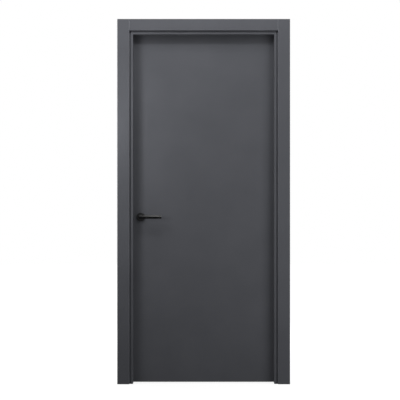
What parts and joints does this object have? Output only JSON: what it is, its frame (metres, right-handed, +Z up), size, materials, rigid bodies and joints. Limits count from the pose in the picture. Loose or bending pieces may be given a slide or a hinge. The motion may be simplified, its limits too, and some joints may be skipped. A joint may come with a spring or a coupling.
{
  "type": "interior door",
  "caption": "Flush interior door set in a lining with flat casings and shadow gap, swinging leaf on butt hinges and a lever handle on round roses.",
  "frame": {"origin": "on the wall face of the hinge jamb, at floor level, half way through the wall", "axes": "+X out of the hinge jamb into the wall, to the right seen from the push side; +Y through the wall, the way the leaf opens; +Z up"},
  "size_m": [1.008, 0.169, 2.13],
  "materials": {
    "leaf_paint": "matt lacquered board, anthracite grey",
    "lining_paint": "matt lacquered board, anthracite grey",
    "handle_black": "satin black coating on cast zinc",
    "hinge_black": "satin black coating on steel",
    "latch_black": "satin black coating on steel",
    "bolt_steel": "plain drawn steel",
    "seal_rubber": "matt black bulb seal"
  },
  "bodies": {
    "frame": {"hinge_jamb": "lining_paint", "latch_jamb": "lining_paint", "head_jamb": "lining_paint", "hinge_stop": "lining_paint", "latch_stop": "lining_paint", "head_stop": "lining_paint", "hinge_seal": "seal_rubber", "latch_seal": "seal_rubber", "head_seal": "seal_rubber", "front_hinge_casing": "lining_paint", "front_latch_casing": "lining_paint", "front_head_casing": "lining_paint", "back_hinge_casing": "lining_paint", "back_latch_casing": "lining_paint", "back_head_casing": "lining_paint", "strike_plate": "latch_black", "top_hinge_jamb_wing": "hinge_black", "middle_hinge_jamb_wing": "hinge_black", "bottom_hinge_jamb_wing": "hinge_black", "top_hinge_pin": "hinge_black", "middle_hinge_pin": "hinge_black", "bottom_hinge_pin": "hinge_black"},
    "leaf": {"leaf_front_skin": "leaf_paint", "leaf_back_skin": "leaf_paint", "leaf_hinge_stile": "leaf_paint", "leaf_latch_stile": "leaf_paint", "leaf_top_rail": "leaf_paint", "leaf_bottom_rail": "leaf_paint", "mortise_latch": "latch_black", "latch_bolt": "bolt_steel", "front_rose": "handle_black", "back_rose": "handle_black", "top_hinge_leaf_wing": "hinge_black", "middle_hinge_leaf_wing": "hinge_black", "bottom_hinge_leaf_wing": "hinge_black"},
    "lever": {"front_lever": "handle_black", "back_lever": "handle_black", "spindle": "bolt_steel"}
  },
  "joints": [
    {"name": "leaf_swing", "type": "hinge", "parent": "frame", "child": "leaf", "pos_m": [-0.0275, 0.059, 0], "axis": [0, 0, -1], "range_deg": [0, 170]},
    {"name": "lever_turn", "type": "hinge", "parent": "leaf", "child": "lever", "pos_m": [-0.82, 0.03, 0.974], "axis": [0, 1, 0], "range_deg": [0, 45], "stiffness_Nm_per_rad": 1.2, "springref_deg": -20.05}
  ]
}
